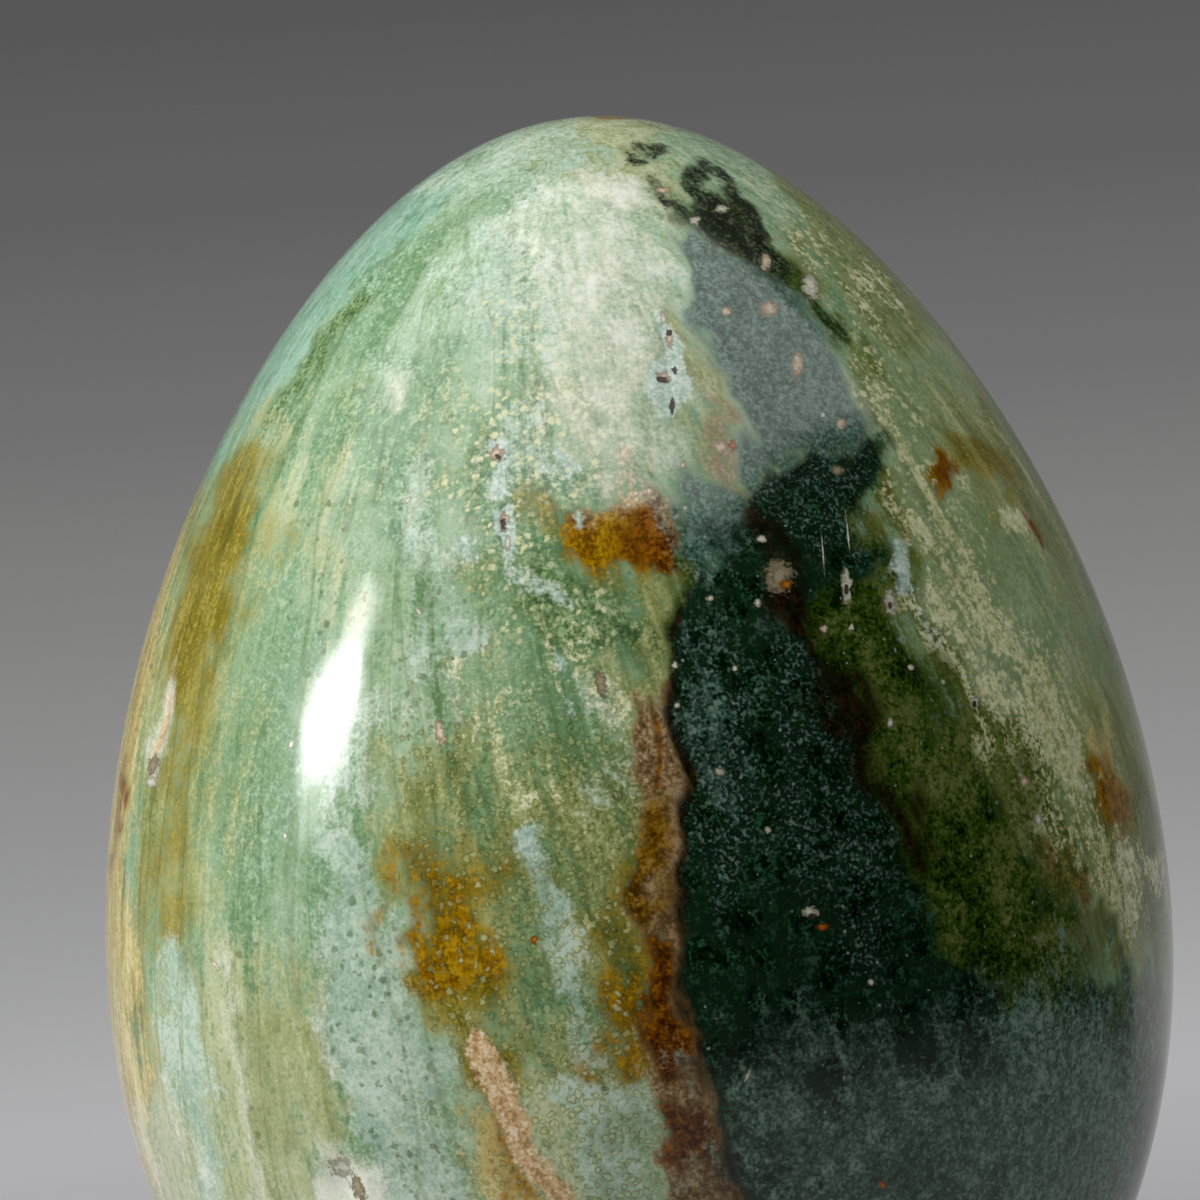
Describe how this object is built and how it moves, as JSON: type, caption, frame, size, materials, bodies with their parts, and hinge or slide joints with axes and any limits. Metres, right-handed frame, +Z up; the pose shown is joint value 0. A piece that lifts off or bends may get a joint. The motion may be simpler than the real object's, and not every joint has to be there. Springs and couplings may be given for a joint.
{
  "type": "decorative stone egg on a stand",
  "caption": "Solid polished jasper egg that stands blunt end down between round-tipped wooden pegs on a turned hardwood base with rubber feet.",
  "frame": {"origin": "on the surface that the stand rests on, under the middle of the base", "axes": "+Z up along the egg's axis from its blunt end to its tip, -Y towards the side of the egg that the picture shows, +X to that view's right"},
  "size_m": [0.0558, 0.0556, 0.0981],
  "materials": {
    "jasper": "polished jasper, mint green with olive, ochre and bottle green, mirror gloss",
    "walnut": "turned walnut, oiled and waxed, satin",
    "rubber": "moulded black rubber, matt"
  },
  "bodies": {
    "stand": {"base": "walnut", "peg_1": "walnut", "peg_2": "walnut", "peg_3": "walnut", "foot_1": "rubber", "foot_2": "rubber", "foot_3": "rubber"},
    "egg": {"egg": "jasper"}
  },
  "joints": [
    {"name": "egg_lift", "type": "slide", "parent": "stand", "child": "egg", "axis": [0, 0, 1], "range_m": [0, 0.04]}
  ]
}
